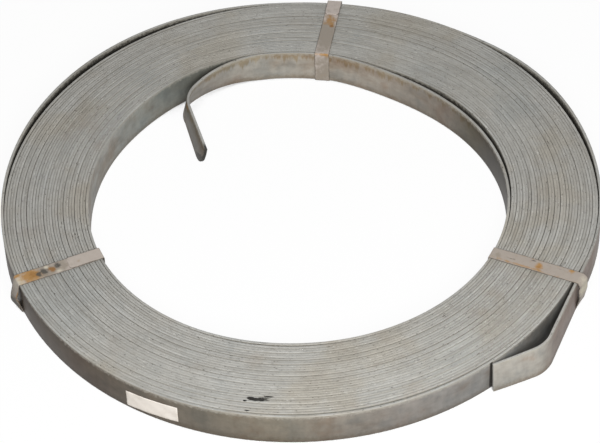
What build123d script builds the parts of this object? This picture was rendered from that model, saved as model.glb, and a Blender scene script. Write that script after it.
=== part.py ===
# Coil of galvanized steel strip, tied by three steel straps and lying flat.
# Millimetres. The coil's axis is Z, the floor is Z = 0, and angles run anticlockwise from X seen from above.
import os
from math import cos, pi, radians, sin

from build123d import *

# The strip and its coil
strip_width = 40
strip_thickness = 3
turn_gap = 0.23              # the air between two turns
bore_radius = 231.5
wound_turns = 30             # the tight turns between the loose outermost and innermost ones
turn_groove_depth = 0.6      # the rounded edges of neighbouring turns
turns_per_low_facet = 2      # the end that lies on the floor is drawn plainer than the top
bite = 0.15                  # how far a loose turn sinks into the wound ring where it is tight

# The loose turns: the largest gaps that open between two straps
outer_gap_right = 2.4
outer_gap_left = 3.4
inner_gap = 3
sunk_share = 0.9             # part of the strip's thickness that has sunk into the ring at a turn's end

# The outer end: a straight tail, one bend and a short end
tail_leave_angle = -23
tail_straight = 109
tail_bend_radius = 40
tail_bend_angle = 41
tail_end = 51

# The inner end: an easy curve away from the wall, one bend and a straight end
hook_leave_angle = 100
hook_ease_radius = 121
hook_ease_angle = 38.5
hook_bend_radius = 51
hook_bend_angle = 55.5
hook_end = 79
hook_corner_radius = 30

# The straps
strap_width = 16
strap_thickness = 0.8
strap_clearance = 0.2        # over and under the ring
wall_clearance = 0.5         # beside its curved walls
strap_corner_radius = 0.5
strap_angle_back = 81
strap_angle_left = 202
strap_angle_right = 333
lap_back = 28
lap_left = 40

# The paper label
label_angle = 241
label_length = 62
label_height = 22
label_thickness = 0.3
label_low_edge = 5.5

# Worked out from the sizes above
turn_pitch = strip_thickness + turn_gap
ring_radius = bore_radius + wound_turns * turn_pitch
coil_low = strap_thickness + strap_clearance
coil_high = coil_low + strip_width
half_thickness = strip_thickness / 2
outer_line = ring_radius - bite + half_thickness
inner_line = bore_radius + bite - half_thickness
front_angle = strap_angle_left + (strap_angle_right - strap_angle_left) / 2


def polar(radius, angle):
    return (radius * cos(radians(angle)), radius * sin(radians(angle)))


def ring_end(turns_per_facet):
    # Radius and groove depth of each joint; the facets tilt in and out by turns, so the turns can be counted,
    # and the first and last facets stay level under the loose turns
    joints = [*range(0, wound_turns, turns_per_facet), wound_turns]
    groove_joints = range(2, len(joints) - 2, 2)
    for number, turn in enumerate(joints):
        depth = turn_groove_depth if number in groove_joints else 0
        yield bore_radius + turn * turn_pitch, depth


def wound_ring():
    # The tight turns as one turned solid, with a facet for every turn on top
    low_end = [(radius, 0, coil_low + depth) for radius, depth in ring_end(turns_per_low_facet)]
    high_end = [(radius, 0, coil_high - depth) for radius, depth in ring_end(1)]
    section = make_face(Polyline([*low_end, *reversed(high_end)], close=True))
    return revolve(section, Axis.Z)


def loose_turn(line_radius, stretches):
    # The plan of one turn as arcs from tie to tie; each stretch has its rise at both ends and the middle
    faces = []
    for side in (-half_thickness, half_thickness):
        radius = line_radius + side
        arcs = []
        for start, start_rise, middle_rise, end, end_rise in stretches:
            first = polar(radius + start_rise, start)
            middle = polar(radius + middle_rise, (start + end) / 2)
            arcs.append(ThreePointArc(first, middle, polar(radius + end_rise, end)))
        faces.append(arcs)
    inner, outer = faces
    ends = [Line(inner[0] @ 0, outer[0] @ 0), Line(inner[-1] @ 1, outer[-1] @ 1)]
    return make_face([*inner, *outer, *ends])


def strip_end(start, heading, legs):
    # A free end that runs on from a turn: each leg is a straight length or a bend of (radius, angle)
    path = []
    for leg in legs:
        if isinstance(leg, tuple):
            path.append(JernArc(start, heading, *leg))
        else:
            path.append(Line(start, start + leg * heading))
        start = path[-1] @ 1
        heading = path[-1] % 1
    return trace(path, line_width=strip_thickness), start


def raised(plan):
    return Pos(0, 0, coil_low) * extrude(plan, strip_width)


def outer_turn():
    sunk = -sunk_share * strip_thickness
    stretches = [
        (tail_leave_angle, 0, outer_gap_right, strap_angle_back, 0),
        (strap_angle_back, 0, outer_gap_left, strap_angle_left, 0),
        (strap_angle_left, 0, 0, front_angle, 0),
        (front_angle, 0, sunk / 2, strap_angle_right, sunk),
    ]
    heading = Vector(*polar(1, tail_leave_angle - 90))
    leave = Vector(*polar(outer_line, tail_leave_angle))
    legs = [tail_straight, (tail_bend_radius, -tail_bend_angle), tail_end]
    tail, tip = strip_end(leave, heading, legs)
    return raised(loose_turn(outer_line, stretches)) + raised(tail)


def inner_turn():
    sunk = sunk_share * strip_thickness
    stretches = [
        (front_angle, sunk, sunk / 2, strap_angle_right, 0),
        (strap_angle_right, 0, -inner_gap, strap_angle_back + 360, 0),
        (strap_angle_back, 0, 0, hook_leave_angle, 0),
    ]
    heading = Vector(*polar(1, hook_leave_angle + 90))
    leave = Vector(*polar(inner_line, hook_leave_angle))
    legs = [(hook_ease_radius, hook_ease_angle), (hook_bend_radius, hook_bend_angle), hook_end]
    plan, tip = strip_end(leave, heading, legs)
    hook = raised(plan)
    corner = hook.edges().sort_by_distance(tip + Vector(0, 0, coil_low))[0]
    return raised(loose_turn(inner_line, stretches)) + fillet(corner, hook_corner_radius)


def strap(angle, inside, outside, lap_start, lap_end):
    # A closed band round the ring, with its free end lapped over the top
    low = coil_low - strap_clearance
    height = strip_width + 2 * strap_clearance
    width = outside - inside
    middle = (inside + outside) / 2
    centre = Plane.XZ * Pos(middle, low + height / 2)
    hollow = centre * RectangleRounded(width, height, strap_corner_radius)
    grown = 2 * strap_thickness
    shell_radius = strap_corner_radius + strap_thickness
    shell = centre * RectangleRounded(width + grown, height + grown, shell_radius)
    band = extrude(shell - hollow, strap_width / 2, both=True)
    lap_length = lap_end - lap_start
    if lap_length > 0:
        lap = Box(lap_length, strap_width, strap_thickness, align=(Align.MIN, Align.CENTER, Align.MIN))
        band += Pos(lap_start, 0, low + height + strap_thickness) * lap
    return Rot(0, 0, angle) * band


def paper_label():
    radius = outer_line + half_thickness + label_thickness / 2
    height = coil_low + label_low_edge + label_height / 2
    section = Plane.XZ * Pos(radius + strap_clearance, height) * Rectangle(label_thickness, label_height)
    sweep_angle = label_length / radius * 180 / pi
    return Rot(0, 0, label_angle - sweep_angle / 2) * revolve(section, Axis.Z, sweep_angle)


half_strap = strap_width / 2
wall_dip = bore_radius - (bore_radius ** 2 - half_strap ** 2) ** 0.5
inside_two_turns = inner_line - half_thickness - wall_dip - wall_clearance
inside_one_turn = bore_radius - wall_dip - wall_clearance
outside_turn = outer_line + half_thickness + wall_clearance
tail_turn = radians(strap_angle_right - 360 - tail_leave_angle)
tail_reach = (outer_line + half_thickness + half_strap * sin(-tail_turn)) / cos(tail_turn)

lap_back_start = outside_turn - lap_back
lap_left_end = inside_one_turn + lap_left
outside_tail = tail_reach + wall_clearance

parts = {
    "strip_coil": wound_ring() + outer_turn() + inner_turn(),
    "strap_back": strap(strap_angle_back, inside_two_turns, outside_turn, lap_back_start, outside_turn),
    "strap_left": strap(strap_angle_left, inside_one_turn, outside_turn, inside_one_turn, lap_left_end),
    "strap_right": strap(strap_angle_right, inside_two_turns, outside_tail, 0, 0),
    "label": paper_label(),
}

os.makedirs("parts", exist_ok=True)
for name, shape in parts.items():
    export_step(shape, f"parts/{name}.step")
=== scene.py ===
import math

import bpy
import numpy as np
from mathutils import Matrix, Vector


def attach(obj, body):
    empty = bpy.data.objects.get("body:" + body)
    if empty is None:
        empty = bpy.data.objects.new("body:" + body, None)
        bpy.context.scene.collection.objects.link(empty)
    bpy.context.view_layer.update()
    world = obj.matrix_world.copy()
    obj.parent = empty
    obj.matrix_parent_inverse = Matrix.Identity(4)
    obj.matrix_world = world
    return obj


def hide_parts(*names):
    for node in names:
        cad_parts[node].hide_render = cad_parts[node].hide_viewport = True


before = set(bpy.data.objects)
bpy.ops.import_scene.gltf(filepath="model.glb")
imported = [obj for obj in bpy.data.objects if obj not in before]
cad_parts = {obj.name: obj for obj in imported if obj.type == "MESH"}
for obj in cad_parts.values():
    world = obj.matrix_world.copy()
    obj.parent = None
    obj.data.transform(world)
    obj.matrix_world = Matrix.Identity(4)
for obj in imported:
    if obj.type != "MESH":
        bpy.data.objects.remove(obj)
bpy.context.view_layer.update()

mm = 0.001    # settings are in millimetres and degrees, the scene in metres
print("frame loaded:", ", ".join(sorted(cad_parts)))


def hexToLinear(hexText):
    parts = [int(hexText[i:i + 2], 16) / 255 for i in (1, 3, 5)]
    linear = [p / 12.92 if p <= 0.04045 else ((p + 0.055) / 1.055) ** 2.4 for p in parts]
    return (*linear, 1.0)


def addNode(tree, kind, settings=None, links=None):
    node = tree.nodes.new(kind)
    for name, value in (settings or {}).items():
        if isinstance(name, int) or name in node.inputs:
            node.inputs[name].default_value = value
        else:
            setattr(node, name, value)
    for name, socket in (links or {}).items():
        tree.links.new(socket, node.inputs[name])
    return node


def newMaterial(name):
    material = bpy.data.materials.new(name)
    material.use_nodes = True
    tree = material.node_tree
    tree.nodes.clear()
    return material, tree


def closeMaterial(tree, colour, finish, relief, rough=None):
    # the fine relief, the shader and the output; rough replaces the plain roughness
    bump = addNode(tree, "ShaderNodeBump", {"Strength": finish["reliefStrength"],
                   "Distance": finish["reliefDepth"] * mm}, {"Height": relief})
    links = {"Base Color": colour, "Normal": bump.outputs["Normal"]}
    if rough is not None:
        links["Roughness"] = rough
    shader = addNode(tree, "ShaderNodeBsdfPrincipled", {"Metallic": finish["metallic"],
                     "Roughness": finish["roughness"], "Specular IOR Level": finish["specular"]}, links)
    addNode(tree, "ShaderNodeOutputMaterial", None, {"Surface": shader.outputs["BSDF"]})


def layOver(tree, colour, tone, pattern, low, high, most=1.0, blend="MIX"):
    # lays a tone over the colour so far, or tints it, where the pattern passes from low to high
    mask = addNode(tree, "ShaderNodeMapRange", {"interpolation_type": "SMOOTHSTEP", "From Min": low,
                   "From Max": high, "To Max": most}, {"Value": pattern})
    mixed = addNode(tree, "ShaderNodeMix", {"data_type": "RGBA", "blend_type": blend, 7: hexToLinear(tone)},
                    {0: mask.outputs["Result"], 6: colour})
    return mixed.outputs[2]


def layShade(tree, colour, pattern, dark, light):
    # darkens and lightens the colour so far; a noise pattern keeps mostly between 0.3 and 0.7
    shade = addNode(tree, "ShaderNodeMapRange", {"From Min": 0.3, "From Max": 0.7, "To Min": dark,
                    "To Max": light}, {"Value": pattern})
    mixed = addNode(tree, "ShaderNodeMix", {"data_type": "RGBA", "blend_type": "MULTIPLY", 0: 1.0},
                    {6: colour, 7: shade.outputs["Result"]})
    return mixed.outputs[2]


def layHues(tree, colour, coords, size, warm, cool, most):
    # cloudy patches: tinted a little warm above the middle of the pattern, and cool below it
    clouds = addNode(tree, "ShaderNodeTexNoise", {"Scale": 1 / (size * mm), "Detail": 4.0, "Roughness": 0.6},
                     {"Vector": coords}).outputs["Fac"]
    colour = layOver(tree, colour, warm, clouds, 0.5, 0.68, most, "MULTIPLY")
    return layOver(tree, colour, cool, clouds, 0.5, 0.32, most, "MULTIPLY")


spotBorder = {"tearScale": 2.4, "tearDepth": 1.5, "outside": 1.75, "inside": 1.5}    # in half sizes of a spot


def laySpot(tree, colour, coords, spot):
    # one ragged spot: a torn oval with its own place, turn and half sizes
    local = addNode(tree, "ShaderNodeMapping", {"vector_type": "TEXTURE", "Location": spot["place"],
                    "Rotation": (0.0, 0.0, spot["turn"]), "Scale": spot["size"]}, {"Vector": coords})
    reach = addNode(tree, "ShaderNodeVectorMath", {"operation": "LENGTH"}, {0: local.outputs["Vector"]})
    torn = addNode(tree, "ShaderNodeTexNoise", {"Scale": spotBorder["tearScale"], "Detail": 4.0,
                   "Roughness": 0.7}, {"Vector": local.outputs["Vector"]})
    border = addNode(tree, "ShaderNodeMath", {"operation": "MULTIPLY_ADD", 1: spotBorder["tearDepth"]},
                     {0: torn.outputs["Fac"], 2: reach.outputs["Value"]})
    return layOver(tree, colour, spot["tone"], border.outputs["Value"], spotBorder["outside"],
                   spotBorder["inside"], spot["most"])


def waves(turn, beats):
    # an uneven swing between -1 and 1 that never repeats from turn to turn
    total = sum(weight for weight, rate, start in beats)
    return sum(weight * np.sin(2 * math.pi * (rate * turn + start)) for weight, rate, start in beats) / total


def newSheet(name, rows, columns):
    # a flat grid, one row of points for each place along the piece
    bpy.ops.object.select_all(action="DESELECT")
    bpy.ops.mesh.primitive_grid_add(x_subdivisions=rows - 1, y_subdivisions=columns - 1, size=1.0)
    piece = bpy.context.active_object
    piece.name = name
    piece.data.name = name
    return piece


def layOut(piece, points, along, across):
    # moves the grid's points to points[column][row] and gives them a flat map in metres
    mesh = piece.data
    mesh.vertices.foreach_set("co", np.asarray(points, dtype=np.float32).ravel())
    flat = np.stack(np.broadcast_arrays(along[None, :], across[:, None]), axis=-1).reshape(-1, 2)
    corners = np.zeros(len(mesh.loops), dtype=np.int32)
    mesh.loops.foreach_get("vertex_index", corners)
    mesh.uv_layers.active.data.foreach_set("uv", flat[corners].astype(np.float32).ravel())
    mesh.update()
    bpy.ops.object.mode_set(mode="EDIT")
    bpy.ops.mesh.select_all(action="SELECT")
    bpy.ops.mesh.normals_make_consistent(inside=False)
    bpy.ops.object.mode_set(mode="OBJECT")


sharpEdge = math.radians(50)    # edges that turn more than this are rounded and shaded as edges


def thicken(piece, thickness, edgeRound, segments, rimSlot=0, shares=None):
    # shares: the part of the full thickness at each point
    solid = piece.modifiers.new("sheet thickness", "SOLIDIFY")
    solid.thickness = thickness
    solid.offset = 0.0
    solid.use_even_offset = True
    solid.material_offset_rim = rimSlot
    if shares is not None:
        group = piece.vertex_groups.new(name="thickness")
        for number, share in enumerate(shares):
            group.add([number], float(share), "REPLACE")
        solid.vertex_group = group.name
    edges = piece.modifiers.new("rolled edges", "BEVEL")
    edges.width = edgeRound
    edges.segments = segments
    edges.limit_method = "ANGLE"
    edges.angle_limit = sharpEdge
    for modifier in ("sheet thickness", "rolled edges"):
        bpy.ops.object.modifier_apply(modifier=modifier)
    piece.vertex_groups.clear()
    bpy.ops.object.shade_smooth_by_angle(angle=sharpEdge)


# the wound strip: angles run anticlockwise from X, seen from above, and turns count inwards from the tail
stripCoil = {
    "width": 40.0, "thickness": 3.0, "low": 1.0, "edgeRound": 0.42, "edgeSegments": 2,
    "thinnest": 2.66, "thickest": 3.2, "turnGap": 0.22, "gapPlay": 0.7, "gapBite": 2.2,
    "faceRadius": 332.0, "boreRadius": 230.4, "turns": 31.0,
    "tailAngle": 337.0, "hookAngle": 100.0, "stepsPerTurn": 160,
    "ties": (333.0, 441.0, 562.0, 693.0),      # right, back, left and again the right strap
    "faceAtTies": (-1.9, -7.7, -0.7, -1.9), "boreAtTies": (5.1, 2.75, 5.4, 5.1),
    "faceSwell": (6.05, 1.1, 2.2), "facePeaks": (0.28, 0.36, 0.5),
    "boreSwell": (-8.05, -1.8, -4.4), "borePeaks": (0.78, 0.73, 0.56), "swellShape": 1.4,
    "boreDents": ((441.0, 505.0, 0.42, 4.6),),      # pressed outwards: from, to, peak as a share, depth
    # loose stretches of the outermost and innermost turn: from, to, peak as a share, gap
    "faceSlack": ((352.0, 415.5, 0.63, 5.2), (449.0, 548.0, 0.41, 6.6), (592.0, 690.0, 0.55, 0.8)),
    "boreSlack": ((338.0, 441.0, 0.56, 5.0), (592.0, 655.0, 0.5, 0.7)),
    # where the turns beside a loose one are pressed away from it
    "facePress": ((342.0, 414.0, 0.52, 2.6), (449.0, 552.0, 0.45, 2.8), (592.0, 690.0, 0.55, 1.8)),
    "borePress": ((338.0, 441.0, 0.6, 1.6), (592.0, 655.0, 0.5, 0.6)),
    "slackShape": 1.8, "slackShare": 0.17, "turnLead": 0.02,      # the next turn counts a little early
    # free ends: each leg has a length, a bend and a step
    "tailHeading": 245.4, "tailLegs": ((111.0, 0.0, 8.0), (26.0, -39.8, 1.5), (50.6, -3.1, 6.0)),
    "tailLeans": (0.2, 3.9, 6.0, 3.2), "tailEase": 60.0,      # leans have the foot outwards
    "hookHeading": 192.8, "hookLegs": ((93.6, 43.5, 5.0), (35.0, 48.4, 1.6), (77.0, 0.0, 2.5)),
    "hookLeans": (0.0, 15.5, 11.3, 12.0), "hookRises": (0.0, 8.0, 13.0, 7.0), "hookCorner": 25.0,
    # swings: weight, beats for each turn, start
    "heightPlay": 0.4, "heightBeats": ((0.7, 0.09, 0.10), (1.0, 0.41, 0.30), (0.6, 1.37, 0.62)),
    "gapBeats": ((1.0, 0.47, 0.20), (0.7, 1.29, 0.45), (0.4, 2.61, 0.05)),
}
lastTurn = stripCoil["turns"] + (stripCoil["hookAngle"] + 360.0 - stripCoil["tailAngle"]) / 360.0


def bulge(angle, start, end, peak, shape):
    # a single swell from start to end, highest at its peak share
    share = np.clip((angle - start) / (end - start), 0.0, 1.0)
    return np.sin(math.pi * share ** (math.log(0.5) / math.log(peak))) ** shape


def pastTies(angle):
    first = stripCoil["ties"][0]
    return first + np.mod(angle - first, 360.0)


def betweenTies(angle, atTies, swells, peaks):
    # a line that passes the three straps at given offsets and swells between them
    ties = stripCoil["ties"]
    angle = pastTies(angle)
    line = np.zeros_like(angle)
    for i in range(3):
        share = np.clip((angle - ties[i]) / (ties[i + 1] - ties[i]), 0.0, 1.0)
        ease = 0.5 - 0.5 * np.cos(math.pi * share)
        swell = swells[i] * bulge(angle, ties[i], ties[i + 1], peaks[i], stripCoil["swellShape"])
        here = (angle >= ties[i]) & (angle < ties[i + 1])
        line = np.where(here, atTies[i] + (atTies[i + 1] - atTies[i]) * ease + swell, line)
    return line


def looseGap(angle, slack):
    angle = pastTies(angle)
    shape = stripCoil["slackShape"]
    return sum(gap * bulge(angle, start, end, peak, shape) for start, end, peak, gap in slack)


def turnPitch(turn):
    s = stripCoil
    angle = s["tailAngle"] + 360.0 * np.asarray(turn, dtype=float)
    face = s["faceRadius"] + betweenTies(angle, s["faceAtTies"], s["faceSwell"], s["facePeaks"])
    bore = s["boreRadius"] + betweenTies(angle, s["boreAtTies"], s["boreSwell"], s["borePeaks"])
    bore += looseGap(angle, s["boreDents"])
    return face, (face - bore) / s["turns"]


def turnRadius(turn):
    # middle of the strip's thickness
    s = stripCoil
    turn = np.asarray(turn, dtype=float)
    angle = s["tailAngle"] + 360.0 * turn
    face, pitch = turnPitch(turn)
    radius = face - s["thickness"] / 2 + pitch / 2 - turn * pitch
    # each turn under the loose outermost or innermost one takes a share of its slack
    fromFace = np.clip(np.floor(turn + s["turnLead"]), 0.0, None)
    fromBore = np.clip(np.floor(lastTurn - turn), 0.0, None)
    radius += looseGap(angle, s["faceSlack"]) * s["slackShare"] ** fromFace
    radius -= looseGap(angle, s["boreSlack"]) * s["slackShare"] ** fromBore
    radius -= looseGap(angle, s["facePress"]) * np.where(fromFace > 0, 1.0 - turn / s["turns"], 0.0)
    radius += looseGap(angle, s["borePress"]) * np.where(fromBore > 0, turn / s["turns"], 0.0)
    # neighbours lie tight here and gape there
    return radius + s["gapPlay"] * s["turnGap"] * np.tanh(s["gapBite"] * waves(turn, s["gapBeats"]))


def freeEnd(x, y, heading, legs):
    # walks on from a turn, leg by leg
    line = []
    for length, bend, step in legs:
        count = int(round(length / step))
        for i in range(count):
            heading += math.radians(bend) / count / 2
            x += math.cos(heading) * length / count
            y += math.sin(heading) * length / count
            heading += math.radians(bend) / count / 2
            line.append((x, y, heading))
    return line


def windStrip():
    s = stripCoil
    turn = np.linspace(0.0, lastTurn, int(lastTurn * s["stepsPerTurn"]))
    angle = np.radians(s["tailAngle"] + 360.0 * turn)
    radius = turnRadius(turn)
    x, y = radius * np.cos(angle), radius * np.sin(angle)
    heading = np.unwrap(np.arctan2(np.gradient(y), np.gradient(x)))
    tail = freeEnd(x[0], y[0], math.radians(s["tailHeading"]), s["tailLegs"])[::-1]
    hook = freeEnd(x[-1], y[-1], math.radians(s["hookHeading"]), s["hookLegs"])
    tailX, tailY, tailHeading = np.array(tail).T
    hookX, hookY, hookHeading = np.array(hook).T
    x = np.concatenate([tailX, x, hookX])
    y = np.concatenate([tailY, y, hookY])
    heading = np.concatenate([tailHeading - math.pi, heading, hookHeading])
    turn = np.concatenate([np.zeros(len(tail)), turn, np.full(len(hook), lastTurn)])
    along = np.concatenate([[0.0], np.cumsum(np.hypot(np.diff(x), np.diff(y)))])
    toEnd = along[-1] - along
    # the tail counts its turns below zero, and the hook beyond the last
    turn[:len(tail)] = (along[:len(tail)] - along[len(tail)]) / (2 * math.pi * s["faceRadius"])
    hookAlong = along[-len(hook):] - along[-len(hook) - 1]
    turn[-len(hook):] = lastTurn + hookAlong / (2 * math.pi * s["boreRadius"])
    tailMarks = np.cumsum([0.0] + [leg[0] for leg in s["tailLegs"][::-1]] + [s["tailEase"]])
    hookMarks = np.cumsum([0.0] + [leg[0] for leg in s["hookLegs"]])

    high = s["low"] + s["width"] - s["heightPlay"] * (1.0 + waves(turn, s["heightBeats"]))
    # the hook's lower edge is cut at a slant through the bend, and its corner round
    corner = np.clip(s["hookCorner"] - toEnd, 0.0, None)
    low = s["low"] + np.interp(hookMarks[-1] - toEnd, hookMarks, s["hookRises"])
    low = low + s["hookCorner"] - np.sqrt(np.clip(s["hookCorner"] ** 2 - corner ** 2, 0.0, None))
    lean = np.interp(along, tailMarks, (*s["tailLeans"][::-1], 0.0))
    lean = np.radians(lean + np.interp(hookMarks[-1] - toEnd, hookMarks, s["hookLeans"]))
    points = []
    for share in (0.0, 1.0):
        drop = (high - low) * (1.0 - share)
        foot = drop * np.sin(lean)
        sideX, sideY = np.sin(heading) * foot, -np.cos(heading) * foot
        points.append(np.stack([x + sideX, y + sideY, high - drop * np.cos(lean)], axis=-1))
    # wound tight, the strip fills its pitch but for a hair; the free ends have the plain thickness
    thick = np.clip(turnPitch(turn)[1] - s["turnGap"], s["thinnest"], s["thickest"])
    thick = np.where((along < tailMarks[-2]) | (toEnd < hookMarks[-1]), s["thickness"], thick)

    coil = newSheet("galvanized_strip_coil", len(along), 2)
    layOut(coil, np.array(points) * mm, along * mm, np.array([0.0, s["width"]]) * mm)
    stops = [stop for stop, tone in faceFinish["stretches"]]
    tones = np.array([hexToLinear(tone)[:3] for stop, tone in faceFinish["stretches"]])
    tones = np.stack([np.interp(turn, stops, channel) for channel in tones.T], axis=-1)
    attribute = coil.data.attributes.new("tone", "FLOAT_VECTOR", "POINT")
    attribute.data.foreach_set("vector", np.tile(tones, (2, 1)).astype(np.float32).ravel())
    # places along the strip that its finish needs
    tipTurn = 1.0 + (math.degrees(math.atan2(tailY[0], tailX[0])) % 360.0 - s["tailAngle"]) / 360.0
    places = {
        "end": along[-1], "tailEnd": tailMarks[-2], "hookStart": along[-1] - hookMarks[-1],
        "besideTip": float(np.interp(tipTurn, turn, along)),
        "dripStart": float(np.interp(s["turns"] + faceFinish["dripFrom"], turn, along)),
    }
    coil.data.materials.append(stripFaceFinish(places))
    coil.data.materials.append(stripEdgeFinish(places))
    shares = np.tile(thick / s["thickest"], 2)
    thicken(coil, s["thickest"] * mm, s["edgeRound"] * mm, s["edgeSegments"], rimSlot=1, shares=shares)
    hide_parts("strip_coil")
    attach(coil, "root")
    print("strip wound:", round(along[-1] * mm, 2), "m,", len(coil.data.polygons), "faces")


# black grease on the front turns
grease = {
    "tone": "#14120e", "most": 0.97, "depth": 20.0,
    # angle, radius, half length and half width
    "spots": ((260.8, 310.4, 12.0, 2.6), (259.4, 309.2, 5.0, 2.2), (262.8, 305.5, 6.0, 1.0),
              (258.4, 313.6, 2.4, 1.3), (259.2, 326.0, 3.2, 0.9), (261.9, 307.6, 7.0, 0.8)),
}


def layGrease(tree, colour, coords):
    for angle, radius, halfLength, halfWidth in grease["spots"]:
        turned = math.radians(angle)
        place = (radius * mm * math.cos(turned), radius * mm * math.sin(turned), stripCoil["width"] * mm)
        colour = laySpot(tree, colour, coords, {
            "place": place, "turn": turned + math.pi / 2, "tone": grease["tone"], "most": grease["most"],
            "size": (halfLength * mm, halfWidth * mm, grease["depth"] * mm)})
    return colour


faceFinish = {
    # tone of the strip's face at a turn, from the tail to the hook; some darker stretches are painted shade
    "stretches": (
        (-0.062, "#a7a39b"), (-0.05, "#91837a"), (0.00, "#8d8079"),      # the tail
        (0.05, "#968f86"), (0.12, "#aca7a0"), (0.38, "#a39d95"),      # the right and the back
        (0.56, "#433d37"), (0.62, "#4d453c"), (0.69, "#554b41"),      # the open outer face, darker on the left: partly grime, partly painted shade
        (0.75, "#6d665b"), (0.80, "#7c7568"), (0.86, "#85807a"), (0.91, "#8a8986"),      # in front
        (0.95, "#6a6965"), (1.04, "#6a6965"),      # behind the tail, darkened as painted shade
        (1.10, "#8c8b84"), (29.9, "#8c8b84"), (29.97, "#45433e"), (30.3, "#45433e"),      # shut in; darker where seen through the gap behind the loose innermost turn, as painted shade
        (30.345, "#4b4a44"), (30.40, "#6c6d66"), (30.45, "#8c8e88"),      # the open bore, darkened behind the hook as painted shade
        (30.5, "#a2a29d"), (30.72, "#a7a59f"),      # on the left
        (31.06, "#38342d"), (31.11, "#413b33"), (31.14, "#5a5446"), (31.17, "#857e75"),      # on the right, darkened towards its end as painted shade
        (31.25, "#a79f94"), (31.33, "#aea99f"),      # at the back
        (31.40, "#969189"), (31.48, "#7d7972")),      # the hook
    "shut": "#3d3b36", "rust": "#96703f", "damp": "#332f2a", "tipShadow": "#211f1c", "paleTop": "#aaa69c",
    # tints
    "warm": "#eee0d7", "cool": "#e3e9ee", "stain": "#dbcfc4", "foot": "#cbc1b4", "drip": "#ddd0b7",
    # sizes of the patterns; the zinc's grain is really finer and is drawn coarser, so that it shows
    "stainSize": 55.0, "mottleSize": 13.0, "hueSize": 40.0, "raggedSize": 4.0, "streakSize": 6.0,
    "bandSize": 7.0, "grainSize": 1.6, "reliefStrength": 0.12, "reliefDepth": 0.2,
    # shades, darkest and lightest
    "mottleShade": (0.84, 1.14), "streakShade": (0.94, 1.055), "bandShade": (0.955, 1.04),
    # where a tone comes in and is full, and its share
    "hueShare": 0.75, "stainReach": (0.48, 0.70, 0.9), "shutReach": (-0.05, -0.1), "shutLead": 8.0,
    "dripHeights": (48.0, 56.0), "dripShare": 0.9, "dripRagged": 40.0, "dripFrom": 0.05,
    "paleTopHeights": (40.5, 45.5), "paleTopShare": 0.6, "footHeights": (16.0, 6.0), "footShare": 0.8,
    "borderRagged": 12.0, "endShadeFromEnd": (5.0, 1.0), "endShadeShare": 0.8,
    "tipShadowReach": (2.6, 1.3), "tipShadowShare": 0.9, "tipShadowShift": 0.4,
    # spots on the hook: distance from the start of its bend, height, half sizes, tone, share
    "hookSpots": ((32.0, 34.0, (5.0, 4.0, 1.0), "rust", 0.7), (106.0, 1.0, (24.0, 15.0, 1.0), "damp", 0.9)),
    "metallic": 0.1, "roughness": 0.5, "roughnessPlay": (-0.06, 0.1), "specular": 0.25,
}


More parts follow.
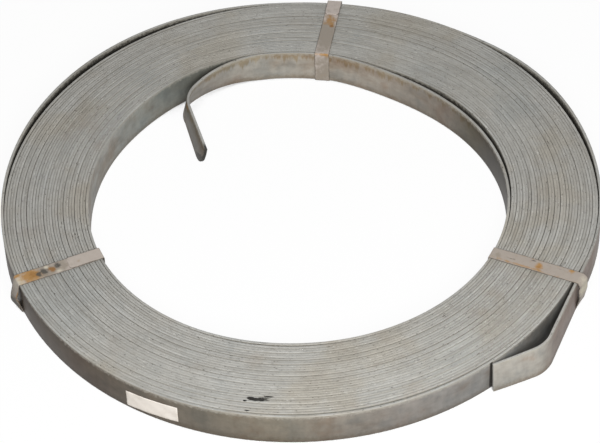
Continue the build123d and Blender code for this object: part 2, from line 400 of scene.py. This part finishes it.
def stripFaceFinish(places):
    # hot-dip galvanised strip, skin-passed: dull cloudy zinc with brownish storage stains and rinse streaks
    f = faceFinish
    material, tree = newMaterial("galvanised strip face")
    coords = addNode(tree, "ShaderNodeUVMap").outputs["UV"]
    place = addNode(tree, "ShaderNodeTexCoord").outputs["Object"]
    flat = addNode(tree, "ShaderNodeSeparateXYZ", None, {"Vector": coords})
    along, height = flat.outputs["X"], flat.outputs["Y"]
    colour = addNode(tree, "ShaderNodeAttribute", {"attribute_name": "tone"}).outputs["Color"]
    colour = layHues(tree, colour, coords, f["hueSize"], f["warm"], f["cool"], f["hueShare"])
    # painted shade: the outermost turn is darkened on the side it turns to the coil, where the gaps between
    # turns lie in shade, and so is the innermost; the outer half of the strip's length counts as 1 and the
    # inner half as -1
    plan = addNode(tree, "ShaderNodeMapping", {"Scale": (1.0, 1.0, 0.0)}, {"Vector": place})
    normal = addNode(tree, "ShaderNodeNewGeometry").outputs["Normal"]
    facing = addNode(tree, "ShaderNodeVectorMath", {"operation": "DOT_PRODUCT"},
                     {0: plan.outputs["Vector"], 1: normal}).outputs["Value"]
    half = addNode(tree, "ShaderNodeMapRange", {"From Min": 0.499 * places["end"] * mm, "To Min": 1.0,
                   "From Max": 0.501 * places["end"] * mm, "To Max": -1.0}, {"Value": along})
    opened = addNode(tree, "ShaderNodeMath", {"operation": "MULTIPLY"},
                     {0: facing, 1: half.outputs["Result"]})
    woundEnd = places["hookStart"] - f["shutLead"]
    for side, end in (("GREATER_THAN", places["tailEnd"]), ("LESS_THAN", woundEnd)):
        wound = addNode(tree, "ShaderNodeMath", {"operation": side, 1: end * mm}, {0: along})
        opened = addNode(tree, "ShaderNodeMath", {"operation": "MULTIPLY"},
                         {0: opened.outputs["Value"], 1: wound.outputs["Value"]})
    colour = layOver(tree, colour, f["shut"], opened.outputs["Value"], *f["shutReach"])

    patterns = {}
    for name, detail, stretch in (
            ("stain", 5.0, (0.45, 1.0, 1.0)), ("mottle", 6.0, (1.0, 1.0, 1.0)),
            ("streak", 3.0, (1.0, 0.1, 1.0)), ("band", 3.0, (0.05, 1.0, 1.0)),
            ("ragged", 4.0, (1.0, 1.0, 1.0))):
        drawn = addNode(tree, "ShaderNodeMapping", {"Scale": stretch}, {"Vector": coords})
        noise = addNode(tree, "ShaderNodeTexNoise", {"Scale": 1 / (f[name + "Size"] * mm), "Detail": detail,
                        "Roughness": 0.62}, {"Vector": drawn.outputs["Vector"]})
        patterns[name] = noise.outputs["Fac"]
    colour = layOver(tree, colour, f["stain"], patterns["stain"], *f["stainReach"], "MULTIPLY")
    for name in ("mottle", "streak", "band"):
        colour = layShade(tree, colour, patterns[name], *f[name + "Shade"])
    # brownish runs from the top edge of the open bore
    run = addNode(tree, "ShaderNodeMath", {"operation": "MULTIPLY_ADD", 1: f["dripRagged"] * mm},
                  {0: patterns["streak"], 2: height})
    inBore = addNode(tree, "ShaderNodeMath", {"operation": "GREATER_THAN", 1: places["dripStart"] * mm},
                     {0: along})
    run = addNode(tree, "ShaderNodeMath", {"operation": "MULTIPLY"},
                  {0: run.outputs["Value"], 1: inBore.outputs["Value"]})
    low, high = f["dripHeights"]
    colour = layOver(tree, colour, f["drip"], run.outputs["Value"], low * mm, high * mm, f["dripShare"],
                     "MULTIPLY")
    # paler along the top edge and darker towards the foot, both with a ragged border
    border = addNode(tree, "ShaderNodeMath", {"operation": "MULTIPLY_ADD", 1: f["borderRagged"] * mm},
                     {0: patterns["ragged"], 2: height}).outputs["Value"]
    low, high = f["paleTopHeights"]
    colour = layOver(tree, colour, f["paleTop"], border, low * mm, high * mm, f["paleTopShare"])
    high, low = f["footHeights"]
    colour = layOver(tree, colour, f["foot"], border, high * mm, low * mm, f["footShare"], "MULTIPLY")
    colour = layGrease(tree, colour, place)
    # a rust spot inside the hook's bend, and painted shade darkening the hook's lower corner and its end
    bendStart = places["end"] - sum(leg[0] for leg in stripCoil["hookLegs"][1:])
    for fromBend, spotHeight, size, tone, most in f["hookSpots"]:
        colour = laySpot(tree, colour, coords, {
            "place": ((bendStart + fromBend) * mm, spotHeight * mm, 0.0), "turn": 0.0, "tone": f[tone],
            "most": most, "size": tuple(reach * mm for reach in size)})
    far, near = f["endShadeFromEnd"]
    colour = layOver(tree, colour, f["damp"], along, (places["end"] - far) * mm, (places["end"] - near) * mm,
                     f["endShadeShare"])
    # painted shadow: a dark line on the wall beside the tail's tip, where the tip's shadow falls
    line = (places["besideTip"] + f["tipShadowShift"]) * mm
    aside = addNode(tree, "ShaderNodeMath", {"operation": "SUBTRACT", 1: line}, {0: along})
    aside = addNode(tree, "ShaderNodeMath", {"operation": "ABSOLUTE"}, {0: aside.outputs["Value"]})
    far, near = f["tipShadowReach"]
    colour = layOver(tree, colour, f["tipShadow"], aside.outputs["Value"], far * mm, near * mm,
                     f["tipShadowShare"])
    grain = addNode(tree, "ShaderNodeTexNoise", {"Scale": 1 / (f["grainSize"] * mm), "Detail": 2.0},
                    {"Vector": place})
    smooth, dull = f["roughnessPlay"]
    rough = addNode(tree, "ShaderNodeMapRange", {"To Min": f["roughness"] + smooth,
                    "To Max": f["roughness"] + dull}, {"Value": patterns["stain"]})
    closeMaterial(tree, colour, f, grain.outputs["Fac"], rough.outputs["Result"])
    return material


edgeFinish = {
    "bright": "#b5b4af", "dull": "#97958f", "patch": "#958b7e", "speck": "#3f3c37", "paintedGlint": "#dad9d3",
    "damp": "#1d1b18", "warm": "#f3e9d9", "cool": "#e8eef3",
    # sizes of the patterns; nicks and grain are really finer and are drawn coarser, so that they show
    "streakSize": 130.0, "dashSize": 12.0, "patchSize": 60.0, "hueSize": 90.0, "speckSize": 1.5,
    "drawnOut": 0.3, "grainSize": 1.2, "reliefStrength": 0.2, "reliefDepth": 0.3,
    # where a tone comes in and is full, and its share
    "dullReach": (0.34, 0.66), "hueShare": 0.5, "patchReach": (0.52, 0.76, 0.45), "dashShade": (0.91, 1.09),
    "speckReach": (0.61, 0.71, 0.85), "paintedGlintReach": (0.36, 0.27, 0.7),
    "endShadeFromEnd": (14.0, 4.0), "endShadeShare": 0.95,
    "metallic": 0.08, "roughness": 0.5, "specular": 0.25,
}


def stripEdgeFinish(places):
    # slit edges under zinc: paler than the faces, each turn brighter or duller along its length, nicked
    e = edgeFinish
    material, tree = newMaterial("galvanised slit edge")
    coords = addNode(tree, "ShaderNodeUVMap").outputs["UV"]
    place = addNode(tree, "ShaderNodeTexCoord").outputs["Object"]
    lengthOnly = addNode(tree, "ShaderNodeMapping", {"Scale": (1.0, 0.0, 0.0)},
                         {"Vector": coords}).outputs["Vector"]
    # across the turns a point is known by its distance from the axis
    plan = addNode(tree, "ShaderNodeMapping", {"Scale": (1.0, 1.0, 0.0)}, {"Vector": place})
    radius = addNode(tree, "ShaderNodeVectorMath", {"operation": "LENGTH"}, {0: plan.outputs["Vector"]})
    drawn = addNode(tree, "ShaderNodeVectorMath", {"operation": "MULTIPLY", 1: (e["drawnOut"], 0.0, 0.0)},
                    {0: coords})
    turned = addNode(tree, "ShaderNodeCombineXYZ", None, {"Y": radius.outputs["Value"]})
    alongTurn = addNode(tree, "ShaderNodeVectorMath", {"operation": "ADD"},
                        {0: drawn.outputs["Vector"], 1: turned.outputs["Vector"]}).outputs["Vector"]
    patterns = {}
    for name, detail, vector in (
            ("streak", 4.0, lengthOnly), ("dash", 3.0, lengthOnly), ("patch", 5.0, place),
            ("speck", 2.0, alongTurn), ("grain", 2.0, place)):
        noise = addNode(tree, "ShaderNodeTexNoise", {"Scale": 1 / (e[name + "Size"] * mm), "Detail": detail,
                        "Roughness": 0.62}, {"Vector": vector})
        patterns[name] = noise.outputs["Fac"]
    low, high = e["dullReach"]
    streak = addNode(tree, "ShaderNodeMapRange", {"From Min": low, "From Max": high},
                     {"Value": patterns["streak"]})
    colour = addNode(tree, "ShaderNodeMix", {"data_type": "RGBA", 6: hexToLinear(e["bright"]),
                     7: hexToLinear(e["dull"])}, {0: streak.outputs["Result"]}).outputs[2]
    colour = layHues(tree, colour, place, e["hueSize"], e["warm"], e["cool"], e["hueShare"])
    colour = layOver(tree, colour, e["patch"], patterns["patch"], *e["patchReach"])
    colour = layShade(tree, colour, patterns["dash"], *e["dashShade"])
    colour = layOver(tree, colour, e["speck"], patterns["speck"], *e["speckReach"])
    # painted highlights: where the speck pattern runs low, pale specks stand for glints on the edges
    colour = layOver(tree, colour, e["paintedGlint"], patterns["speck"], *e["paintedGlintReach"])
    colour = layGrease(tree, colour, place)
    # painted shade: the hook's end is darkened
    along = addNode(tree, "ShaderNodeSeparateXYZ", None, {"Vector": coords}).outputs["X"]
    far, near = e["endShadeFromEnd"]
    colour = layOver(tree, colour, e["damp"], along, (places["end"] - far) * mm, (places["end"] - near) * mm,
                     e["endShadeShare"])
    closeMaterial(tree, colour, e, patterns["grain"])
    return material


windStrip()

# what the three straps share
straps = {
    "width": 17.0, "thickness": 0.8, "edgeRound": 0.2, "edgeSegments": 1, "clear": 0.5,
    "top": 41.85, "lapTop": 42.75, "bottom": 0.45,
    "cornerReach": 2.4, "step": 1.2, "fineStep": 0.1, "columns": 17,
    "ripple": 0.12, "ripplePace": (9.0, 5.0), "rippleFrom": 30.0,      # pace along and across, lowest place
    "clipPlaces": (0.0, 1.2, 4.0), "clipShares": (0.72, 0.92, 1.0),      # the cut end is clipped round
}
strapFinish = {
    # sizes of the patterns; scratches are really finer and are drawn coarser, so that they show
    "blotchSize": 7.0, "scratchSize": 5.0, "reliefStrength": 0.2, "reliefDepth": 0.3,
    # what lies on the steel, from the lowest layer up; the last is dark scale and, in some spots, painted
    # shade
    "layers": (("soil", "#958c80"), ("pale", "#cbc4b2"), ("rust", "#a87e45"), ("deepRust", "#8b6334"),
               ("oxideAndShade", "#4a4741")),
    "layerRagged": 1.6, "layerReach": (0.95, 1.65, 0.92),
    # grime and painted shadow along both edges, standing for the shade the strap casts on the coil beside it;
    # by its distance from the middle
    "edge": "#4f483f", "edgeRagged": 1.6, "edgeReach": (8.4, 9.3), "edgeShare": 0.85,
    "metallic": 0.1, "roughness": 0.5, "specular": 0.25,
}


def strapMaterial(name, clean, dull):
    # cold-rolled steel strapping: a thin pinkish lacquer over steel, with rust, dark scale, pale deposit, and
    # painted shade along its edges and in a few dark spots
    f = strapFinish
    material, tree = newMaterial(name)
    coords = addNode(tree, "ShaderNodeUVMap").outputs["UV"]
    place = addNode(tree, "ShaderNodeTexCoord").outputs["Object"]
    blotch = addNode(tree, "ShaderNodeTexNoise", {"Scale": 1 / (f["blotchSize"] * mm), "Detail": 6.0,
                     "Roughness": 0.65}, {"Vector": place}).outputs["Fac"]
    fine = addNode(tree, "ShaderNodeTexNoise", {"Scale": 1 / (f["scratchSize"] * mm), "Detail": 4.0,
                   "Roughness": 0.7}, {"Vector": place}).outputs["Fac"]
    colour = addNode(tree, "ShaderNodeMix", {"data_type": "RGBA", 6: hexToLinear(clean),
                     7: hexToLinear(dull)}, {0: blotch}).outputs[2]
    for layer, tone in f["layers"]:
        amount = addNode(tree, "ShaderNodeAttribute", {"attribute_name": layer}).outputs["Fac"]
        ragged = addNode(tree, "ShaderNodeMath", {"operation": "MULTIPLY_ADD", 1: f["layerRagged"]},
                         {0: fine if layer == "oxideAndShade" else blotch, 2: amount}).outputs["Value"]
        colour = layOver(tree, colour, tone, ragged, *f["layerReach"])
    # painted shadow, with some grime, along both edges of the strap
    across = addNode(tree, "ShaderNodeSeparateXYZ", None, {"Vector": coords}).outputs["Y"]
    fromMiddle = addNode(tree, "ShaderNodeMath", {"operation": "ABSOLUTE"}, {0: across}).outputs["Value"]
    edgeShadeAndDirt = addNode(tree, "ShaderNodeMath", {"operation": "MULTIPLY_ADD", 1: f["edgeRagged"] * mm},
                   {0: fine, 2: fromMiddle})
    low, high = f["edgeReach"]
    colour = layOver(tree, colour, f["edge"], edgeShadeAndDirt.outputs["Value"], low * mm, high * mm, f["edgeShare"])
    closeMaterial(tree, colour, f, fine)
    return material


def softLine(corners):
    # a line through the corners, eased round each of them, with a point every step
    s = straps
    corners = np.array(corners, dtype=float)
    lengths = np.concatenate([[0.0], np.cumsum(np.hypot(*np.diff(corners, axis=0).T))])
    fine = np.linspace(0.0, lengths[-1], int(lengths[-1] / s["fineStep"]))
    line = np.stack([np.interp(fine, lengths, corners[:, i]) for i in (0, 1)], axis=-1)
    count = int(s["cornerReach"] / s["fineStep"]) // 2
    padded = np.concatenate([np.repeat(line[:1], count, 0), line, np.repeat(line[-1:], count, 0)])
    kernel = np.ones(2 * count + 1) / (2 * count + 1)
    line = np.stack([np.convolve(padded[:, i], kernel, mode="valid") for i in (0, 1)], axis=-1)
    lengths = np.concatenate([[0.0], np.cumsum(np.hypot(*np.diff(line, axis=0).T))])
    places = np.linspace(0.0, lengths[-1], int(lengths[-1] / s["step"]))
    return np.stack([np.interp(places, lengths, line[:, i]) for i in (0, 1)], axis=-1), places


def layStrap(band):
    s = straps
    half = s["width"] / 2
    line, along = softLine(band["corners"])
    across = np.linspace(-half, half, s["columns"])
    angle = math.radians(stripCoil["ties"][band["tie"]])
    outward = np.array([math.cos(angle), math.sin(angle)])
    sideways = np.array([-outward[1], outward[0]])
    shift = band["shift"] + band["slope"] * (line[:, 0] - band["slopeFrom"])
    clipped = np.interp(along[-1] - along, s["clipPlaces"], s["clipShares"])
    points = []
    for side in across:
        radius = line[:, 0].copy()
        if "crumple" in band:
            edges = [np.interp(line[:, 1], *np.array(edge[::-1]).T) for edge in band["crumple"]]
            pressed = edges[0] + (edges[1] - edges[0]) * (side + half) / s["width"]
            radius = np.where(radius > band["crumpleFrom"], pressed, radius)
        ripple = s["ripple"] * np.sin(along / s["ripplePace"][0] + side / s["ripplePace"][1])
        height = line[:, 1] + ripple * (line[:, 1] > s["rippleFrom"])
        flat = radius[:, None] * outward + (side * clipped + shift)[:, None] * sideways
        points.append(np.concatenate([flat, height[:, None]], axis=1))
    strap = newSheet(band["name"], len(along), s["columns"])
    layOut(strap, np.array(points) * mm, along * mm, across * mm)
    strap.data.materials.append(strapMaterial(band["name"].replace("_", " ") + " steel", *band["lacquer"]))
    thicken(strap, s["thickness"] * mm, s["edgeRound"] * mm, s["edgeSegments"])
    mesh = strap.data
    place = np.zeros(len(mesh.vertices) * 3)
    mesh.vertices.foreach_get("co", place)
    place = place.reshape(-1, 3) / mm
    here = np.stack([place[:, :2] @ outward, place[:, :2] @ sideways, place[:, 2]], axis=-1)
    for layer, tone in strapFinish["layers"]:
        amount = np.zeros(len(here))
        for kind, spot, reach, strength in band["spots"]:
            if kind == layer:
                away = (((here - np.array(spot)) / np.array(reach)) ** 2).sum(axis=1)
                amount = np.maximum(amount, strength * np.exp(-away))
        attribute = mesh.attributes.new(layer, "FLOAT", "POINT")
        attribute.data.foreach_set("value", amount)
    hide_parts(band["node"])
    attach(strap, "root")
    print("strap laid:", band["name"], len(mesh.polygons), "faces")


def wallAt(tie, turnsIn):
    # middle of the strip at a strap, so many turns in from the outside
    turn = turnsIn + (stripCoil["ties"][tie] - stripCoil["tailAngle"]) / 360.0
    return float(turnRadius(turn))


# each strap's corners run round the coil's section as (radius, height); its spots have a layer, a place as
# radius, sideways and height, the reach in each of these, and a strength; shift and slope set it askew
strapEdge = stripCoil["thickness"] / 2 + straps["clear"] + straps["thickness"] / 2
top, lapTop, bottom = straps["top"], straps["lapTop"], straps["bottom"]

inside, outside = wallAt(1, 31.0) - strapEdge, wallAt(1, 0.0) + strapEdge
backStrap = {
    "name": "back_strap_band", "node": "strap_back", "tie": 1,
    "lacquer": ("#c9beb6", "#b5aaa1"),      # clean and dulled; lighter than the other straps', as painted light
    "shift": 0.2, "slope": -0.0422, "slopeFrom": 280.0,
    "corners": ((outside - 5, top), (inside, top), (inside, bottom), (outside, bottom), (outside + 0.9, 20.0),
                (outside + 1.0, lapTop), (301, lapTop)),
    "spots": (
        ("soil", (265, 1, top), (34, 16, 3), 1.1), ("soil", (inside, 0, 14), (4, 18, 40), 0.85),
        ("rust", (291, 0, top), (10, 10, 9), 0.7), ("rust", (284, -2, top), (5, 6, 9), 0.7),
        ("deepRust", (280.7, -2.8, top), (3, 4, 9), 0.9), ("rust", (inside, 2, top), (1.4, 12, 4), 0.8)),
}
layStrap(backStrap)

inside, outside = wallAt(2, 30.0) - strapEdge, wallAt(2, 0.0) + strapEdge      # past the hook, a turn fewer
leftStrap = {
    "name": "left_strap_band", "node": "strap_left", "tie": 2,
    "lacquer": ("#bcb2a9", "#aca298"), "shift": 0.0, "slope": 0.0, "slopeFrom": 0.0,
    "corners": ((inside + 6, top), (outside, top), (outside, bottom), (inside, bottom), (inside, 20.0),
                (inside - 0.9, 30.0), (inside - 0.9, lapTop), (273, lapTop)),
    # the crumpled outside, as (height, radius) down both edges
    "crumpleFrom": outside - 0.6,
    "crumple": (
        ((42, outside), (38.8, 332.6), (31.2, 334.2), (17.9, 337.7), (11.3, 338.8), (5.9, 338), (1, 335)),
        ((42, outside), (32.8, 333.1), (24.2, 336.2), (12, 333.4), (6.9, 334.4), (1, outside))),
    "spots": (
        ("soil", (277, -1, top), (5, 10, 9), 1.0), ("pale", (285, 6, top), (4, 3, 9), 0.9),
        ("oxideAndShade", (283.5, -3, top), (4, 4.5, 9), 1.05), ("soil", (297, 0, top), (22, 14, 9), 1.05),
        ("pale", (296, -5, top), (3, 2.5, 9), 0.9), ("deepRust", (291, 0, top), (4.5, 5, 9), 0.9),
        ("oxideAndShade", (300, 0, top), (4, 5, 9), 1.1), ("oxideAndShade", (306.5, 2, top), (3, 4, 9), 1.1),
        ("rust", (316, -1, top), (12, 13, 9), 1.1), ("deepRust", (313, 0, top), (5, 6, 9), 0.65),
        ("rust", (331, -6, top), (7, 3, 5), 0.9), ("pale", (328, 3, top), (5, 9, 6), 1.0),
        ("pale", (334, 0, 36), (5, 8, 6), 0.8), ("rust", (336, 7.5, 24), (6, 2, 14), 0.9),
        ("soil", (336, 0, 24), (9, 12, 12), 0.6), ("deepRust", (337, 4, 17), (6, 5, 5), 0.9),
        # the two oxide spots low on the outside are partly dark scale, partly painted shade where the
        # crumpled strap turns down
        ("oxideAndShade", (337, -2, 9), (8, 13, 9), 1.1), ("oxideAndShade", (337, -8.5, 24), (8, 2.2, 13), 0.9)),
}
layStrap(leftStrap)

inside = wallAt(0, 31.0) - strapEdge + 0.25      # pulled tight
outside = 333.9 + straps["clear"] + straps["thickness"] / 2      # over the tail
rightStrap = {
    "name": "right_strap_band", "node": "strap_right", "tie": 0,
    # the right strap's lacquer is darker than the others', as painted shade
    "lacquer": ("#ada399", "#9d9389"), "shift": 0.0, "slope": 0.026, "slopeFrom": 333.0,
    "corners": ((280.0, bottom), (inside, bottom), (inside, top), (outside, top), (outside, bottom),
                (281.0, bottom)),
    "crumpleFrom": outside - 0.6,
    "crumple": (
        ((42, 335.6), (36.4, 338.8), (31.3, 337.4), (22, 338.6), (16.7, 338.2), (3.7, 335.4), (1, outside)),
        ((42, 335.4), (38.4, 340.8), (23.5, 341.1), (6.5, 338.2), (1, 335.6))),
    "spots": (
        ("soil", (241, -3, top), (4, 5, 9), 0.7), ("rust", (275, 8, top), (45, 1.8, 9), 0.6),
        ("rust", (275, -8, top), (45, 1.8, 9), 0.6), ("oxideAndShade", (257, -3, top), (5, 0.9, 9), 0.8),
        ("oxideAndShade", (280, 4, top), (4, 1, 9), 0.8), ("rust", (288, -1, top), (5, 5, 9), 0.95),
        ("deepRust", (288.5, -2, top), (3, 3, 9), 0.5), ("oxideAndShade", (311, 3.5, top), (4, 0.8, 9), 0.7),
        ("rust", (323, 6.2, top), (3, 2.6, 9), 0.9), ("pale", (340, 2, 28), (8, 12, 14), 0.9),
        # painted shadow: this oxide spot, low on the outside at one edge, stands for the shade between the
        # strap and the tail
        ("oxideAndShade", (338, -8, 11), (8, 2.6, 13), 1.1)),
}
layStrap(rightStrap)

label = {
    "angle": 241.0, "length": 62.0, "height": 22.0, "thickness": 0.3, "middle": 17.4, "tilt": 3.8,
    "edgeRound": 0.05, "edgeSegments": 1, "clear": 0.25, "rows": 33, "columns": 13,
    "lift": 1.2, "liftFrom": 0.5, "liftLow": 0.6,      # one end curls away, its upper corner most
    "wave": 0.08, "wavePace": (4.0, 3.0),      # along and across
    # the paper's fibre is really finer and is drawn coarser, so that it shows
    "paper": "#f3ece3", "soiled": "#e2d9ce", "soilSize": 14.0, "soilReach": (0.45, 0.75), "fibreSize": 0.8,
    "reliefStrength": 0.1, "reliefDepth": 0.1, "metallic": 0.0, "roughness": 0.85, "specular": 0.5,
}


def paperFinish():
    # uncoated white label paper, handled: warm white, faintly soiled, with fine fibre
    material, tree = newMaterial("label paper")
    place = addNode(tree, "ShaderNodeTexCoord").outputs["Object"]
    soil = addNode(tree, "ShaderNodeTexNoise", {"Scale": 1 / (label["soilSize"] * mm), "Detail": 5.0,
                   "Roughness": 0.6}, {"Vector": place}).outputs["Fac"]
    low, high = label["soilReach"]
    soilMask = addNode(tree, "ShaderNodeMapRange", {"interpolation_type": "SMOOTHSTEP", "From Min": low,
                       "From Max": high}, {"Value": soil})
    tone = addNode(tree, "ShaderNodeMix", {"data_type": "RGBA", 6: hexToLinear(label["paper"]),
                   7: hexToLinear(label["soiled"])}, {0: soilMask.outputs["Result"]})
    fibre = addNode(tree, "ShaderNodeTexNoise", {"Scale": 1 / (label["fibreSize"] * mm), "Detail": 3.0},
                    {"Vector": place})
    closeMaterial(tree, tone.outputs[2], label, fibre.outputs["Fac"])
    return material


def stickLabel():
    along = np.linspace(-label["length"] / 2, label["length"] / 2, label["rows"])
    across = np.linspace(-label["height"] / 2, label["height"] / 2, label["columns"])
    angle = label["angle"] + np.degrees(along / stripCoil["faceRadius"])
    turn = (angle - stripCoil["tailAngle"] + 360.0) / 360.0
    wall = turnRadius(turn) + stripCoil["thickest"] / 2
    lifted = np.clip(along / label["length"] * 2 - label["liftFrom"], 0.0, 1.0) ** 2
    points = []
    for height in across:
        radius = wall + label["clear"] + label["thickness"] / 2
        radius = radius + label["lift"] * lifted * (label["liftLow"] + height / label["height"])
        radius = radius + label["wave"] * np.sin(along / label["wavePace"][0] + height / label["wavePace"][1])
        x, y = radius * np.cos(np.radians(angle)), radius * np.sin(np.radians(angle))
        z = label["middle"] + height + along * math.tan(math.radians(label["tilt"]))
        points.append(np.stack([x, y, z], axis=-1))
    paper = newSheet("paper_label", label["rows"], label["columns"])
    layOut(paper, np.array(points) * mm, along * mm, across * mm)
    paper.data.materials.append(paperFinish())
    thicken(paper, label["thickness"] * mm, label["edgeRound"] * mm, label["edgeSegments"])
    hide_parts("label")
    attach(paper, "root")
    print("label stuck on:", len(paper.data.polygons), "faces")


stickLabel()

# the stage, in metres
studio = {
    "floor": "#fbfbfb", "floorBounce": "#6f6a63", "floorGlow": 0.95, "floorSize": 12.0, "floorDrop": 0.0002,
    "shadeReach": 0.05, "shadeFrom": 0.36, "shadeFull": 0.26, "shadeSamples": 8,      # close under the coil
    "fill": 0.16,      # share of the white room's light that falls on the coil
    # soft boxes: place, size and power
    "lights": {"key_softbox": ((0.14, -1.5, 1.25), 0.9, 44.5), "back_softbox": ((0.0, 2.4, 0.2), 0.4, 10.0)},
    "cameraPlace": (0.0, -2.0757, 2.0609), "aim": (0.0008, -0.0144, 0.0064), "roll": -2.129,
    "lens": 155.96, "sensor": 36.0, "farthest": 50.0,
}
white = (1.0, 1.0, 1.0, 1.0)


def seenByEye(tree):
    # 1 on rays from the camera and in reflections, 0 on the light that falls on the coil
    path = addNode(tree, "ShaderNodeLightPath").outputs
    seen = addNode(tree, "ShaderNodeMath", {"operation": "MAXIMUM"},
                   {0: path["Is Camera Ray"], 1: path["Is Glossy Ray"]})
    seen = addNode(tree, "ShaderNodeMath", {"operation": "MAXIMUM"},
                   {0: seen.outputs["Value"], 1: path["Is Transmission Ray"]})
    return seen.outputs["Value"]


def layFloor():
    # glows white to the eye, but not close under the coil, where its shadow stays
    bpy.ops.object.select_all(action="DESELECT")
    bpy.ops.mesh.primitive_plane_add(size=studio["floorSize"], location=(0.0, 0.0, -studio["floorDrop"]))
    floor = bpy.context.active_object
    floor.name = "studio_floor"
    material, tree = newMaterial("white studio floor")
    seen = seenByEye(tree)
    near = addNode(tree, "ShaderNodeAmbientOcclusion", {"samples": studio["shadeSamples"],
                   "Distance": studio["shadeReach"]}).outputs["AO"]
    lit = addNode(tree, "ShaderNodeMapRange", {"interpolation_type": "SMOOTHSTEP",
                  "From Min": studio["shadeFull"], "From Max": studio["shadeFrom"],
                  "To Max": studio["floorGlow"]}, {"Value": near})
    share = addNode(tree, "ShaderNodeMath", {"operation": "MULTIPLY"}, {0: seen, 1: lit.outputs["Result"]})
    tone = addNode(tree, "ShaderNodeMix", {"data_type": "RGBA", 6: hexToLinear(studio["floorBounce"]),
                   7: hexToLinear(studio["floor"])}, {0: seen})
    matt = addNode(tree, "ShaderNodeBsdfDiffuse", None, {"Color": tone.outputs[2]})
    glow = addNode(tree, "ShaderNodeEmission", {"Color": white, "Strength": 1.0})
    both = addNode(tree, "ShaderNodeMixShader", None,
                   {0: share.outputs["Value"], 1: matt.outputs["BSDF"], 2: glow.outputs["Emission"]})
    addNode(tree, "ShaderNodeOutputMaterial", None, {"Surface": both.outputs["Shader"]})
    floor.data.materials.append(material)


def lightRoom():
    world = bpy.data.worlds.new("white room")
    world.use_nodes = True
    tree = world.node_tree
    tree.nodes.clear()
    strength = addNode(tree, "ShaderNodeMapRange", {"To Min": studio["fill"], "To Max": 1.0},
                       {"Value": seenByEye(tree)})
    sky = addNode(tree, "ShaderNodeBackground", {"Color": white}, {"Strength": strength.outputs["Result"]})
    addNode(tree, "ShaderNodeOutputWorld", None, {"Surface": sky.outputs["Background"]})
    bpy.context.scene.world = world
    for name, (place, size, power) in studio["lights"].items():
        bpy.ops.object.light_add(type="AREA", location=place)
        box = bpy.context.active_object
        box.name = name
        box.data.size = size
        box.data.energy = power
        box.rotation_euler = (-Vector(place)).to_track_quat("-Z", "Y").to_euler()


def setCamera():
    bpy.ops.object.camera_add()
    camera = bpy.context.active_object
    camera.name = "photo_camera"
    place, aim = Vector(studio["cameraPlace"]), Vector(studio["aim"])
    turned = (aim - place).to_track_quat("-Z", "Y").to_matrix().to_4x4()
    rolled = Matrix.Rotation(math.radians(studio["roll"]), 4, "Z")
    camera.matrix_world = Matrix.Translation(place) @ turned @ rolled
    camera.data.sensor_width = studio["sensor"]
    camera.data.lens = studio["lens"]
    camera.data.clip_end = studio["farthest"]
    bpy.context.scene.camera = camera
    bpy.context.scene.view_settings.view_transform = "Standard"


layFloor()
lightRoom()
setCamera()
print("stage set")
